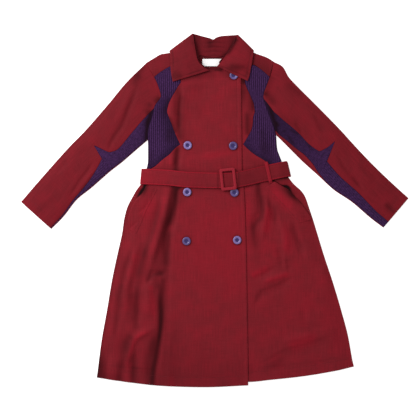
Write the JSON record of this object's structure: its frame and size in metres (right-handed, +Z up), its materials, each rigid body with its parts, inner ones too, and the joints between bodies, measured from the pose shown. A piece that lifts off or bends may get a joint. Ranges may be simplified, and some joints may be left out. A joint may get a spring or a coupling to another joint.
{
  "type": "belted coat",
  "caption": "Double-breasted belted coat with long sleeves, ribbed side panels and sleeve gussets, a turned-down collar and slant pockets, laid out flat on a surface.",
  "frame": {"origin": "centre of the coat's plan, on the surface it lies on", "axes": "+Z up from the surface, +Y from hem to collar, +X to the wearer's left, which is the right of someone looking down on the front"},
  "size_m": [1.1626, 1.0581, 0.0204],
  "materials": {
    "shell": "deep red shot weave with a soft sheen",
    "rib": "matt dark purple ribbed cloth",
    "label": "white woven tape, bare",
    "button": "lilac rim round a dark sunk middle",
    "buckle": "frame covered in the coat's red cloth"
  },
  "bodies": {
    "root": {"back": "shell", "front_right": "shell", "front_left": "shell", "side_panel_right": "rib", "side_panel_left": "rib", "yoke_right": "shell", "yoke_left": "shell", "sleeve_right_upper": "shell", "sleeve_right_gusset": "rib", "sleeve_right_under": "shell", "sleeve_left_upper": "shell", "sleeve_left_gusset": "rib", "sleeve_left_under": "shell", "collar_fall": "shell", "collar_stand": "shell", "neck_label": "label", "pocket_welt_left": "shell", "pocket_welt_right": "shell", "belt": "shell", "belt_loop": "shell", "buckle": "buckle", "button_left_neck": "button", "button_left_chest": "button", "button_left_hip": "button", "button_left_skirt": "button", "button_right_chest": "button", "button_right_hip": "button", "button_right_skirt": "button"}
  },
  "joints": []
}
